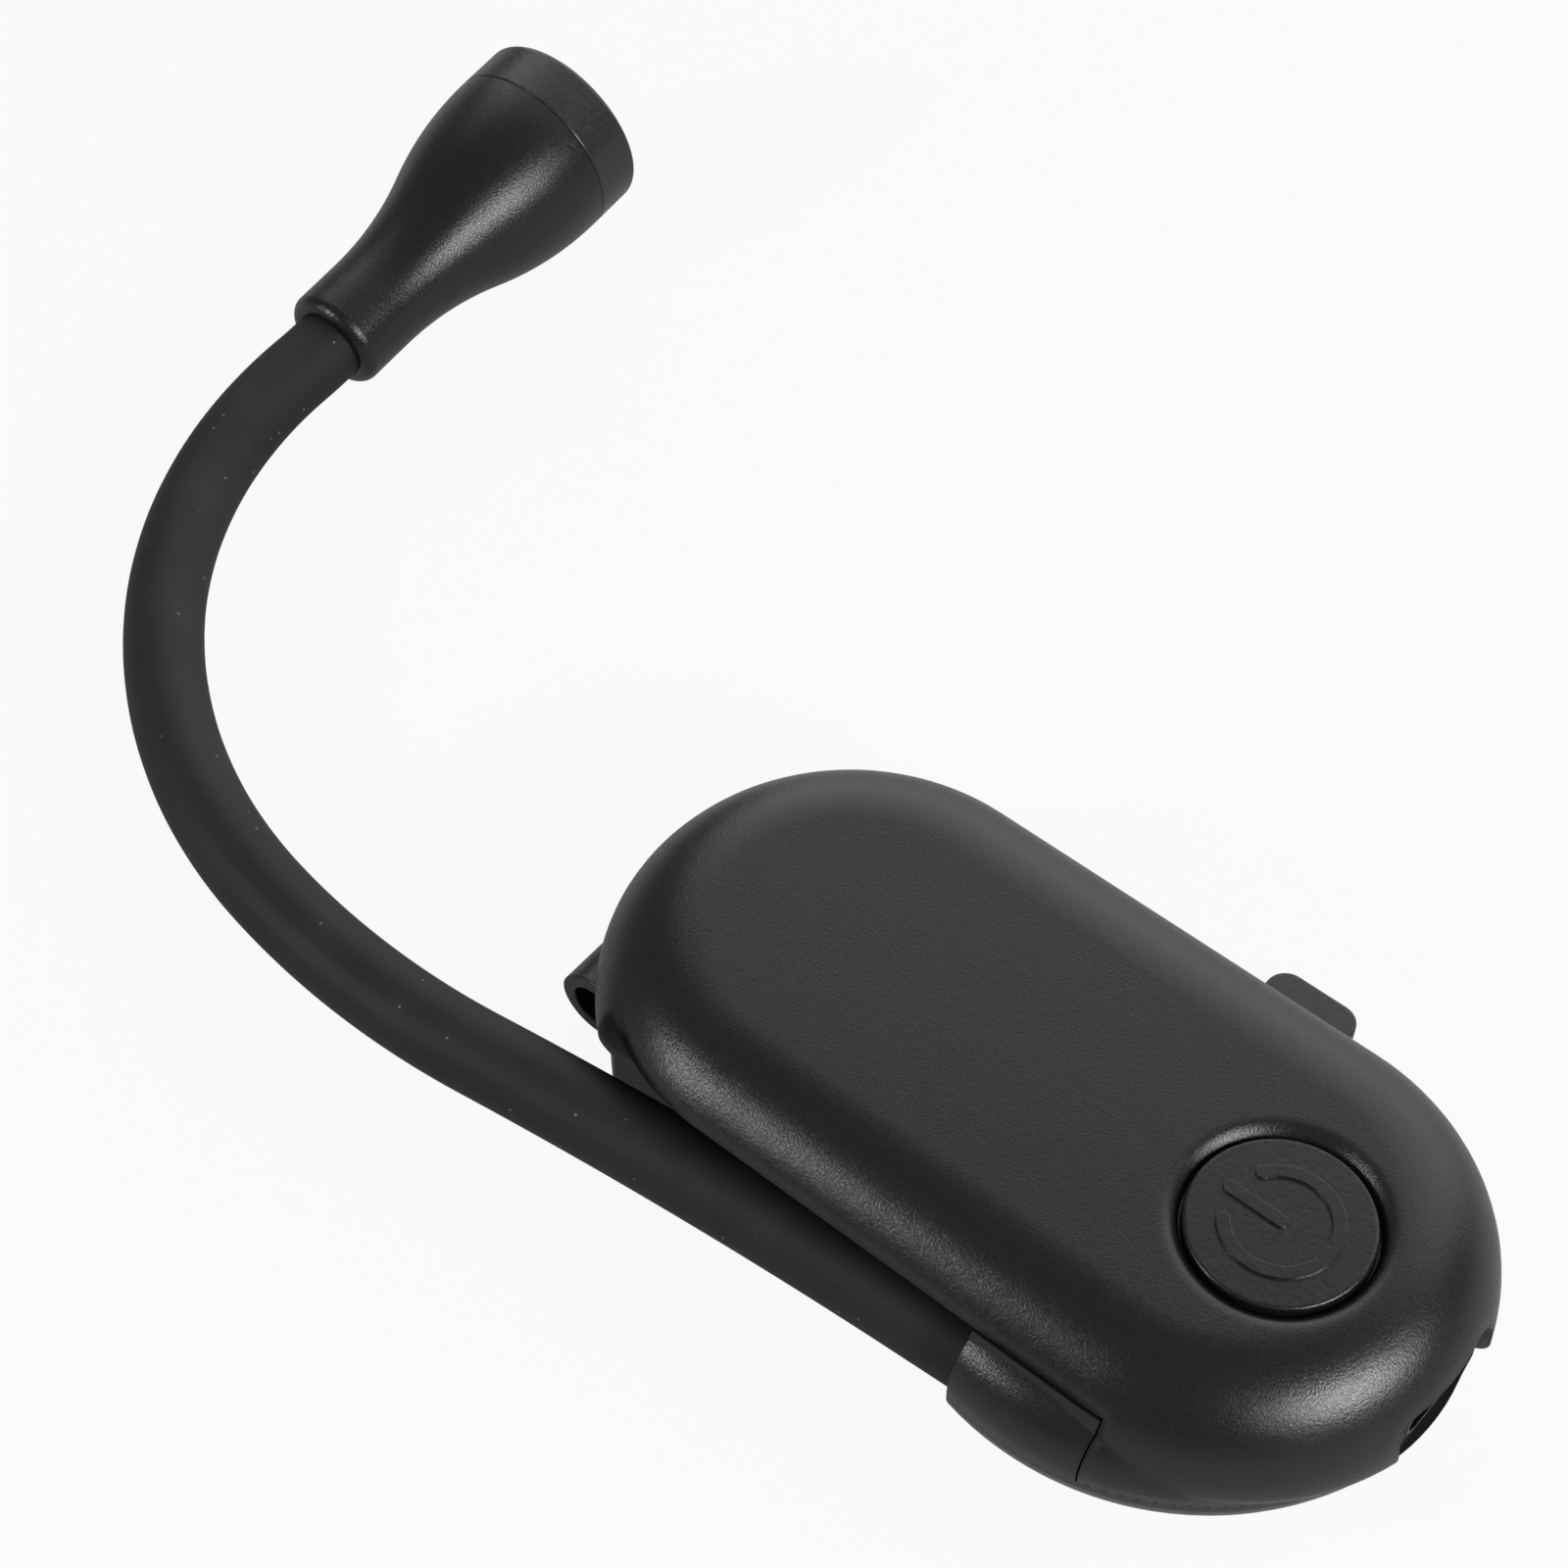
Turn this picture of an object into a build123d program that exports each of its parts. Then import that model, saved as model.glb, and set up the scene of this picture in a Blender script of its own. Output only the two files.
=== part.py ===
"""Clip-on reading lamp: pill-shaped rechargeable body, spring jaw, flexible neck and small lamp head.

Millimetres, +Z up. The origin is the middle of the body's flat grip face, +X points to the button end
and -Y to the side where the neck lies. Each separate piece is written to its own file in parts/.
"""

import os
from math import cos, radians, sin, tan

from build123d import *

os.makedirs("parts", exist_ok=True)

# Body
body_half_width = 21.0
body_straight = 37.5
seam_height = 5.8
dome_rise = 10.85
dome_round = 9.0
dome_tuck = 1.0
shell_wall = 1.6
rim_band = 0.7
bottom_inset = 6.0
bottom_bulge = 1.5
tongue_height = 1.2
tongue_thick = 0.9
slip_fit = 0.15
running_fit = 0.06
part_gap = 0.3

# Side channel and neck socket
channel_depth = 8.0
channel_straight = 1.0
channel_tilt = 4.5
channel_lip = 6.3
socket_start_x = 9.0
socket_length = 12.0
flare_radius = 25.1
flare_round = 5.3
flare_turn = 21.0
flare_sweep = 100.0
anchor_width = 2.0
anchor_wall = 0.9

# Neck: heading of the exit and the bends of its route (length, turn left, turn up)
neck_radius = 3.6
neck_height = 4.8
neck_inset = 3.2
neck_exit_heading = 183.2
neck_bends = [
    (6.0, 0.0, 0.0),
    (42.8, 5.0, 0.0),
    (25.9, -19.2, 0.0),
    (30.0, -33.5, 0.0),
    (35.4, -43.4, 0.0),
    (4.0, 0.0, 5.4),
    (14.0, 0.0, 0.0),
]
sleeve_wall = 1.2
core_radius = 2.2
core_bore = 1.1
neck_joints = 8
first_joint = 7.0
joint_pitch = 18.0
link_gap = 2.2
socket_depth = 6.5
core_tail = 11.0

# Lamp head, along its own axis from the collar end
collar_radius = 5.1
collar_round = 1.2
collar_length = 6.0
head_radius = 9.35
shell_length = 30.0
bezel_length = 5.2
bezel_round = 0.6
bezel_wall = 2.35
seam_gap = 0.1
head_bore_depth = 6.0
head_step_depth = 8.5
wire_room = 2.0
led_ledge = 25.0
led_ledge_width = 2.0
head_wall = 1.4
led_board_thick = 1.2
led_size = 3.5
led_height = 0.8
lens_thick = 1.1
front_lip = 0.65
front_lip_thick = 1.1
reflector_wall = 0.7
reflector_throat = 2.9

# Clip jaw
jaw_half_width = 11.5
jaw_tip_x = 34.0
jaw_gap = 0.5
jaw_thick = 1.25
nose_radius = 3.4
hinge_inset = 2.65
nose_top_reach = 2.5
tab_x = 8.3
tab_width = 8.6
tab_reach = 30.1
tab_corner = 1.9
tab_root = 3.0
pin_radius = 0.8
pin_web = 1.4
web_inset = 3.3
lug_thick = 2.0
lug_radius = 1.55
lug_rise = 0.8
pad_back = 9.0
pad_length = 22.0
pad_width = 16.0
pad_proud = 0.2
pad_depth = 0.6
pad_ribs = 7
spring_wire = 0.5
spring_coil = 1.42
spring_turns = 5
spring_pitch = 1.1
spring_leg = 2.6

# Button and electronics
button_inset = 17.15
button_radius = 7.45
button_gap = 0.25
button_dish = 1.0
button_dish_depth = 0.9
button_sink = 0.15
button_edge = 0.3
button_flange = 0.85
button_flange_thick = 0.8
button_travel = 0.4
icon_ring = 4.4
icon_line = 1.1
icon_raise = 0.2
icon_gap = 36.5
icon_bar = 4.7
board_thick = 1.2
board_shift = 1.0
board_length = 24.0
board_half_width = 6.4
rib_inset = 3.0
rib_thick = 2.0
port_width = 12.6
port_height = 5.4
port_drop = 2.0
port_depth = 2.0
port_z = 8.6
port_corner = 2.2
plug_width = 8.94
plug_height = 3.26
plug_depth = 7.3
plug_wall = 0.35
plug_tongue = 5.6
switch_size = 6.0
switch_body = 3.5
plunger_radius = 1.7
battery_size = (28.0, 20.0, 6.0)
battery_x = -6.0
battery_y = 2.0
screw_spots = [(-24.0, 10.0), (-24.0, -9.6), (30.0, 9.0), (30.0, -9.0)]
screw_radius = 0.9
screw_head = 1.8
screw_head_thick = 1.2
screw_length = 9.0
screw_sink = 0.6
screw_slot = 0.6
boss_radius = 2.3

# Worked out from the sizes above
half_straight = body_straight / 2
body_end_x = half_straight + body_half_width
hinge_x = hinge_inset - body_end_x
button_x = body_end_x - button_inset
channel_wall_y = channel_depth - body_half_width
neck_exit_y = neck_inset - body_half_width
rim_radius = body_half_width - dome_tuck
tongue_outer = rim_radius - shell_wall - slip_fit
flare_x = half_straight - (flare_radius - rim_radius) * cos(radians(flare_turn))
flare_y = (flare_radius - rim_radius) * sin(radians(flare_turn))
top_z = seam_height + dome_rise
lip_z = seam_height + channel_lip
socket_end_x = socket_start_x + socket_length
jaw_top = -jaw_gap
jaw_under = jaw_top - jaw_thick
hinge_z = jaw_under + nose_radius
nose_inner = nose_radius - jaw_thick
board_top = port_z - plug_height / 2
board_x = button_x - board_shift
screw_seat = screw_head_thick + screw_sink
button_top = top_z - button_sink
roof_under = top_z - shell_wall
bore_radius = head_radius - bezel_wall
web_outer_y = jaw_half_width - web_inset
lug_inner_y = web_outer_y - pin_web - part_gap - lug_thick
pad_x = jaw_tip_x - pad_back - pad_length
pad_box = (pad_x, pad_x + pad_length, -pad_width / 2, pad_width / 2)
notch_x = hinge_x + nose_radius + part_gap + slip_fit
mouth_x = body_end_x - shell_wall
far = 200.0


def save(name, shape):
    """Writes one piece, or one group of equal pieces, to its own file."""
    export_step(shape, f"parts/{name}.step")


def block(x0, x1, y0, y1, z0, z1):
    """A box between two corners."""
    middle = ((x0 + x1) / 2, (y0 + y1) / 2, (z0 + z1) / 2)
    return Pos(*middle) * Box(abs(x1 - x0), abs(y1 - y0), abs(z1 - z0))


def tube_z(x, y, z0, z1, radius):
    """An upright cylinder between two heights."""
    return Pos(x, y, (z0 + z1) / 2) * Cylinder(radius, z1 - z0)


def tube_y(x, z, y0, y1, radius):
    """A cylinder along Y between two stations."""
    return Pos(x, (y0 + y1) / 2, z) * Rot(90, 0, 0) * Cylinder(radius, y1 - y0)


def pill(edges):
    """A pill-shaped solid from half of its cross-section, drawn as radius and height."""
    half = Rot(0, 0, -90) * (Plane.XZ * make_face(edges))
    end = revolve(half, Axis.Z, 180)
    side = Pos(-half_straight, 0, 0) * extrude(half, amount=body_straight, dir=(1, 0, 0))
    right = Pos(half_straight, 0, 0) * end + side
    return right + Rot(0, 0, 180) * right


def dome_section(grow, base):
    """Half section of the upper dome, moved outwards by grow, standing on the height base."""
    outer = body_half_width + grow
    top = top_z + grow
    rounding = dome_round + grow
    start = (outer, top - rounding)
    middle = (outer - rounding * (1 - cos(radians(45))), top - rounding * (1 - sin(radians(45))))
    end = (outer - rounding, top)
    foot = (outer - dome_tuck, base)
    return [
        Line((0, base), foot),
        TangentArc(start, foot, tangent=(0, -1)),
        ThreePointArc(start, middle, end),
        Line(end, (0, top)),
        Line((0, top), (0, base)),
    ]


def basin_section(rim):
    """Half section of the lower housing: narrow rim band, bowed flank, flat grip face."""
    foot = rim - bottom_inset
    knee = seam_height - rim_band
    slant = (bottom_inset**2 + knee**2) ** 0.5
    out, down = bottom_bulge * knee / slant, bottom_bulge * bottom_inset / slant
    middle = ((foot + rim) / 2 + out, knee / 2 - down)
    return [
        Line((0, 0), (foot, 0)),
        ThreePointArc((foot, 0), middle, (rim, knee)),
        Line((rim, knee), (rim, seam_height)),
        Line((rim, seam_height), (0, seam_height)),
        Line((0, seam_height), (0, 0)),
    ]


def basin_hollow_section():
    """Half section of the room inside the lower housing."""
    foot = rim_radius - bottom_inset - shell_wall / 2
    edge = tongue_outer - tongue_thick
    knee = seam_height - rim_band
    return [
        Line((0, shell_wall), (foot, shell_wall)),
        Line((foot, shell_wall), (edge, knee)),
        Line((edge, knee), (edge, top_z)),
        Line((edge, top_z), (0, top_z)),
        Line((0, top_z), (0, shell_wall)),
    ]


def plate_section(outer, z0, z1):
    """Half section of a flat pill-shaped plate."""
    corners = [(0, z0), (outer, z0), (outer, z1), (0, z1)]
    return [Line(corners[i], corners[(i + 1) % 4]) for i in range(4)]


def shoulder_section():
    """Half section of the swelling round the neck's root: upright foot and round shoulder."""
    top = lip_z - part_gap
    start = (flare_radius, top - flare_round)
    end = (flare_radius - flare_round, top)
    slack = flare_round * (1 - cos(radians(45)))
    return [
        Line((0, seam_height), (flare_radius, seam_height)),
        Line((flare_radius, seam_height), start),
        ThreePointArc(start, (flare_radius - slack, top - slack), end),
        Line(end, (0, top)),
        Line((0, top), (0, seam_height)),
    ]


def flare(edges):
    """The swelling round the neck's root, touching the rim where it starts, cut off at the mouth."""
    half = Rot(0, 0, -flare_turn - flare_sweep) * (Plane.XZ * make_face(edges))
    swell = Pos(flare_x, flare_y, 0) * revolve(half, Axis.Z, flare_sweep)
    return swell & block(socket_start_x, far, -far, far, 0, far)


def channel(grow, end_x, top):
    """The room beside the body where the neck lies; its back wall runs along with the neck."""
    wall = channel_wall_y + grow
    knee = socket_start_x - channel_straight
    back = wall - (far + knee) * tan(radians(channel_tilt))
    outline = Polyline(
        (end_x, -far),
        (end_x, wall),
        (knee, wall),
        (-far, back),
        (-far, -far),
        close=True,
    )
    return extrude(Plane.XY.offset(-far) * make_face(outline), amount=far + top)


def spin(vector, axis, angle):
    """Turns a vector about a unit axis, in degrees."""
    c, s = cos(radians(angle)), sin(radians(angle))
    return vector * c + axis.cross(vector) * s + axis * (axis.dot(vector) * (1 - c))


def neck_pieces():
    """The route's runs and arcs: start, direction, turning axis, length and turn of each."""
    place = Vector(socket_start_x, neck_exit_y, neck_height)
    heading = Vector(cos(radians(neck_exit_heading)), sin(radians(neck_exit_heading)), 0)
    back = core_tail + anchor_width
    pieces = [(place - heading * back, heading, Vector(0, 0, 1), back, 0.0)]
    for length, left, up in neck_bends:
        side = heading.cross(Vector(0, 0, 1)).normalized()
        axis, turn = (side, up) if up else (Vector(0, 0, 1), left)
        pieces.append((place, heading, axis, length, turn))
        place, heading = along(pieces[-1], length)
    return pieces


def along(piece, distance):
    """Place and direction at a distance along one run or arc of the route."""
    start, heading, axis, length, turn = piece
    if not turn:
        return start + heading * distance, heading
    angle = turn * distance / length
    arm = axis.cross(heading) * (length / radians(turn))
    return start + arm - spin(arm, axis, angle), spin(heading, axis, angle)


route = neck_pieces()
route_back = route[0][3]
free_length = sum(bend[0] for bend in neck_bends[:-1])


def neck_at(distance):
    """Place and direction on the neck's axis, measured from the socket's mouth."""
    rest = distance + route_back
    for piece in route:
        if rest <= piece[3] + 1e-9:
            return along(piece, rest)
        rest -= piece[3]
    return along(route[-1], route[-1][3])


def neck_wire(start, end):
    """The part of the neck's axis between two distances, as runs and arcs."""
    edges = []
    done = -route_back
    for piece in route:
        low, high = max(start, done), min(end, done + piece[3])
        if high - low > 1e-6:
            points = [along(piece, d - done)[0] for d in (low, (low + high) / 2, high)]
            edges.append(ThreePointArc(*points) if piece[4] else Line(points[0], points[2]))
        done += piece[3]
    return Wire(edges)


def neck_tube(start, end, radius, bore=0.0):
    """A round tube along the neck between two distances."""
    place, heading = neck_at(start)
    plane = Plane(place, z_dir=heading)
    wire = neck_wire(start, end)
    body = sweep(plane * Circle(radius), path=wire)
    if bore:
        body -= sweep(plane * Circle(bore), path=wire)
    return body


def joint_at(number):
    """Distance of a neck joint from the socket's mouth, counted from 1."""
    return first_joint + joint_pitch * (number - 1)


def screw_boss(x, y, z0, z1):
    """A post with room for a screw's thread."""
    return tube_z(x, y, z0, z1, boss_radius)


def upper_housing():
    """The domed shell with button well, charging recess, neck channel and screw posts."""
    outer = pill(dome_section(0, seam_height)) + flare(shoulder_section())
    hollow = pill(dome_section(-shell_wall, seam_height))
    room = channel(0, socket_end_x, lip_z)
    skin = channel(shell_wall, socket_end_x + shell_wall, lip_z + shell_wall)
    body = outer - (hollow - skin) - room
    for x, y in screw_spots:
        body += screw_boss(x, y, seam_height, roof_under) & (outer - room)
    for x, y in screw_spots:
        body -= tube_z(x, y, 0, screw_seat + screw_length + slip_fit, screw_radius + running_fit)
    hole = button_radius + button_gap
    body -= tube_z(button_x, 0, roof_under - 1, top_z + 1, hole)
    dish = Pos(button_x, 0, top_z - button_dish_depth / 2)
    body -= dish * Cone(hole, hole + button_dish, button_dish_depth)
    return body - port_recess()


def port_recess():
    """The room in front of the charging port, open through the body's lower edge, and its hole."""
    height = port_height + port_drop
    mouth = Plane((body_end_x, 0, port_z - port_drop / 2), x_dir=(0, 1, 0), z_dir=(1, 0, 0))
    recess = mouth * RectangleRounded(port_width, height, port_corner)
    around = Plane((mouth_x, 0, port_z), x_dir=(0, 1, 0), z_dir=(1, 0, 0))
    width, height = plug_width + 2 * slip_fit, plug_height + 2 * slip_fit
    hole = around * RectangleRounded(width, height, plug_height / 2)
    return extrude(recess, amount=port_depth, both=True) + extrude(hole, amount=shell_wall, both=True)


def neck_room():
    """The stepped room for the neck's end, half in the socket and half in the lower housing."""
    room = neck_tube(-socket_depth, first_joint, neck_radius + running_fit)
    room += neck_tube(-core_tail - running_fit, -socket_depth + 1, core_radius + running_fit)
    ring = core_radius + anchor_wall + running_fit
    return room + neck_tube(-core_tail - running_fit, anchor_width - core_tail, ring)


def neck_socket():
    """The piece that holds the neck's end, flush with the dome's flank."""
    outer = pill(dome_section(0, seam_height)) + flare(shoulder_section())
    body = outer & block(
        socket_start_x,
        socket_end_x - slip_fit,
        -far,
        channel_wall_y - slip_fit,
        seam_height,
        lip_z - part_gap,
    )
    return body - neck_room()


def lower_housing():
    """The grip-side shell with tongue, neck groove, board ribs, hinge notch and lugs."""
    outer = pill(basin_section(rim_radius)) + flare(basin_section(flare_radius))
    side = jaw_half_width + part_gap
    outer += pill(plate_section(rim_radius, 0, seam_height)) & block(
        -far, socket_start_x, -far, -side, 0, seam_height
    )
    hollow = pill(basin_hollow_section()) - block(-far, notch_x + shell_wall, -far, far, -far, far)
    hollow -= channel(shell_wall, socket_start_x + shell_wall, far)
    hollow -= neck_tube(-route_back, 0, neck_radius + shell_wall)
    body = outer - hollow
    tongue = pill(plate_section(tongue_outer, seam_height - 0.5, seam_height + tongue_height))
    tongue -= pill(plate_section(tongue_outer - tongue_thick, -1, far))
    tongue -= channel(shell_wall + slip_fit, socket_end_x + shell_wall + slip_fit, far)
    tongue -= block(button_x, far, -port_width / 2 - 1, port_width / 2 + 1, -far, far)
    roof = pill(plate_section(tongue_outer, seam_height - 0.5, seam_height + tongue_height)) & block(
        -far,
        notch_x + shell_wall,
        channel_wall_y + shell_wall + slip_fit,
        far,
        -far,
        far,
    )
    body += tongue + roof
    body -= channel(0, socket_start_x, far)
    body -= neck_room() + port_recess()
    body -= block(-far, notch_x, -side, side, -far, seam_height)
    half = board_half_width
    for rib_x in (board_x - board_length / 2 + rib_inset, board_x + board_length / 2 - 2 * rib_inset):
        body += block(rib_x, rib_x + rib_thick, -half, half, shell_wall / 2, board_top - board_thick)
    for x, y in screw_spots:
        body += screw_boss(x, y, shell_wall / 2, seam_height)
    for x, y in screw_spots:
        body -= tube_z(x, y, -far, far, screw_radius + slip_fit)
        body -= tube_z(x, y, -far, screw_seat, screw_head + slip_fit)
    for y in (lug_inner_y, -lug_inner_y - lug_thick):
        lug = tube_y(hinge_x, hinge_z, y, y + lug_thick, lug_radius)
        lug += block(hinge_x, notch_x + 0.5, y, y + lug_thick, hinge_z - lug_radius, hinge_z + lug_rise)
        body += lug
    body -= tube_y(hinge_x, hinge_z, -jaw_half_width, jaw_half_width, pin_radius + running_fit)
    body -= block(*pad_box, -1, pad_depth)
    return body


def clip_jaw():
    """The sprung jaw: rolled nose round the hinge, flat blade, side tab and pad pocket."""
    tip_center = jaw_tip_x - jaw_half_width
    blade = block(hinge_x, tip_center, -jaw_half_width, jaw_half_width, jaw_under, jaw_top)
    blade += tube_z(tip_center, 0, jaw_under, jaw_top, jaw_half_width)
    tab = Plane.XY.offset(jaw_under) * Pos(tab_x, tab_reach / 2) * RectangleRounded(
        tab_width, tab_reach, tab_corner
    )
    root = Plane.XY.offset(jaw_under) * Pos(tab_x, jaw_half_width) * Rectangle(
        tab_width + 2 * tab_root, 2 * tab_root
    )
    for side in (-1, 1):
        corner = Pos(tab_x + side * (tab_width / 2 + tab_root), jaw_half_width + tab_root)
        root -= Plane.XY.offset(jaw_under) * corner * Circle(tab_root)
    blade += extrude(tab, amount=jaw_thick) + extrude(root, amount=jaw_thick)
    nose = tube_y(hinge_x, hinge_z, -jaw_half_width, jaw_half_width, nose_radius) & block(
        -far, hinge_x, -far, far, -far, far
    )
    nose += block(
        hinge_x,
        hinge_x + nose_top_reach,
        -jaw_half_width,
        jaw_half_width,
        hinge_z + nose_inner,
        hinge_z + nose_radius,
    )
    nose -= tube_y(hinge_x, hinge_z, -far, far, nose_inner)
    body = blade + nose
    for y in (web_outer_y - pin_web, -web_outer_y):
        web = tube_y(hinge_x, hinge_z, y, y + pin_web, nose_inner + 0.2)
        web += block(hinge_x, hinge_x + nose_inner, y, y + pin_web, jaw_top - 0.2, hinge_z)
        body += web
    body -= tube_y(hinge_x, hinge_z, -jaw_half_width, jaw_half_width, pin_radius + running_fit)
    body -= block(*pad_box, jaw_top - pad_depth, 1)
    return body


def jaw_pad():
    """The soft pad in the jaw, with cross ribs on its grip face."""
    body = block(*pad_box, jaw_top - pad_depth, jaw_top)
    step = pad_length / pad_ribs
    for i in range(pad_ribs):
        x = pad_x + step * (i + 0.25)
        body += block(x, x + step / 2, pad_box[2], pad_box[3], jaw_top, jaw_top + pad_proud)
    return body


def spring_points():
    """Points of the torsion spring's turns round the pin, eight to a turn and half a turn over."""
    points = []
    for i in range(8 * spring_turns + 5):
        angle = radians(-90 - 45 * i)
        y = spring_pitch * (i / 8 - spring_turns / 2 - 0.25)
        points.append(Vector(hinge_x + spring_coil * cos(angle), y, hinge_z + spring_coil * sin(angle)))
    return points


def clip_spring():
    """The torsion spring: a leg on the jaw, the turns on arcs of a quarter turn, a leg on the housing."""
    points = spring_points()
    apart = [(p - q).length for i, p in enumerate(points) for q in points[i + 5 :]]
    print("least gap in the spring", round(min(apart) - spring_wire, 2))
    leg = Vector(spring_leg, 0, 0)
    path = [Line(points[0] + leg, points[0])]
    path += [ThreePointArc(*points[i : i + 3]) for i in range(0, len(points) - 2, 2)]
    path += [Line(points[-1], points[-1] + leg)]
    wire = Plane(points[0] + leg, z_dir=(-1, 0, 0)) * Circle(spring_wire / 2)
    return sweep(wire, path=Wire(path))


def power_button():
    """The round push button with retaining flange and a raised power sign."""
    body = tube_z(button_x, 0, roof_under - slip_fit, button_top, button_radius)
    body = fillet(body.edges().group_by(Axis.Z)[-1], button_edge)
    under = roof_under - slip_fit - button_flange_thick
    body += tube_z(button_x, 0, under, roof_under - slip_fit, button_radius + button_flange)
    half = icon_line / 2
    opening = Polyline(
        (0, 0),
        (-2 * icon_ring, 2 * icon_ring * tan(radians(icon_gap))),
        (-2 * icon_ring, -2 * icon_ring * tan(radians(icon_gap))),
        close=True,
    )
    sign = Circle(icon_ring + half) - Circle(icon_ring - half) - make_face(opening)
    for side in (-1, 1):
        sign += Rot(0, 0, 180 + side * icon_gap) * Pos(icon_ring, 0) * Circle(half)
    sign += Pos(-icon_bar / 2, 0) * SlotOverall(icon_bar + icon_line, icon_line)
    raised = Plane.XY.offset(button_top) * Pos(button_x, 0) * sign
    body += extrude(raised, amount=icon_raise)
    return body


def switch_top():
    """Height where the switch's plunger meets the button."""
    return roof_under - slip_fit - button_flange_thick


def lamp_shell():
    """The lamp head's shell: rounded collar, S-shaped flare, stepped bore and board ledge."""
    rise = head_radius - collar_radius
    run = shell_length - collar_length
    bend = (rise**2 + run**2) / (4 * rise)
    lean = (bend**2 - (run / 4) ** 2) ** 0.5
    mid = (collar_radius + rise / 2, collar_length + run / 2)
    low = (collar_radius + bend - lean, collar_length + run / 4)
    high = (head_radius - bend + lean, shell_length - run / 4)
    round_mid = collar_round * (1 - cos(radians(45)))
    edges = [
        Line((0, 0), (collar_radius - collar_round, 0)),
        ThreePointArc(
            (collar_radius - collar_round, 0),
            (collar_radius - round_mid, round_mid),
            (collar_radius, collar_round),
        ),
        Line((collar_radius, collar_round), (collar_radius, collar_length)),
        ThreePointArc((collar_radius, collar_length), low, mid),
        ThreePointArc(mid, high, (head_radius, shell_length)),
        Line((head_radius, shell_length), (0, shell_length)),
        Line((0, shell_length), (0, 0)),
    ]
    body = revolve(Plane.XZ * make_face(edges), Axis.Z)
    ledge = head_radius - head_wall
    waist = collar_radius - head_wall
    hollow = Polyline(
        (0, head_step_depth + anchor_width + wire_room),
        (waist, head_step_depth + anchor_width + wire_room),
        (ledge - led_ledge_width, led_ledge - 1),
        (ledge - led_ledge_width, led_ledge),
        (ledge, led_ledge),
        (ledge, shell_length),
        (0, shell_length),
        close=True,
    )
    body -= revolve(Plane.XZ * make_face(hollow), Axis.Z)
    body -= tube_z(0, 0, -1, head_bore_depth, neck_radius + running_fit)
    body -= tube_z(0, 0, -1, led_ledge, core_radius + running_fit)
    body -= tube_z(0, 0, head_step_depth, led_ledge, core_radius + anchor_wall + running_fit)
    return body


def lamp_bezel():
    """The cap ring that closes the head and holds lens, reflector and board."""
    start = shell_length + seam_gap
    end = start + bezel_length
    body = tube_z(0, 0, start, end, head_radius)
    body = fillet(body.edges().group_by(Axis.Z)[-1], bezel_round)
    spigot = head_radius - head_wall - slip_fit
    body += tube_z(0, 0, led_ledge + led_board_thick + running_fit, start, spigot)
    body -= tube_z(0, 0, 0, end - front_lip_thick, bore_radius)
    body -= tube_z(0, 0, 0, far, bore_radius - front_lip)
    return body


def reflector():
    """The cone between chip and lens, with a rim that carries the lens."""
    base = led_ledge + led_board_thick + running_fit
    rim = shell_length + seam_gap + bezel_length - front_lip_thick - lens_thick - 2 * running_fit
    outer = bore_radius - running_fit
    profile = Polyline(
        (reflector_throat, base),
        (reflector_throat + reflector_wall, base),
        (outer, rim - reflector_wall),
        (outer, rim),
        (outer - reflector_wall, rim),
        close=True,
    )
    return revolve(Plane.XZ * make_face(profile), Axis.Z)


def lamp_lens():
    """The clear disc with a shallow crown inside the front lip."""
    front = shell_length + seam_gap + bezel_length - front_lip_thick - running_fit
    body = tube_z(0, 0, front - lens_thick, front, bore_radius - running_fit)
    crown = bore_radius - front_lip - slip_fit
    return body + tube_z(0, 0, front - 0.1, front + front_lip_thick / 3, crown)


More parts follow.
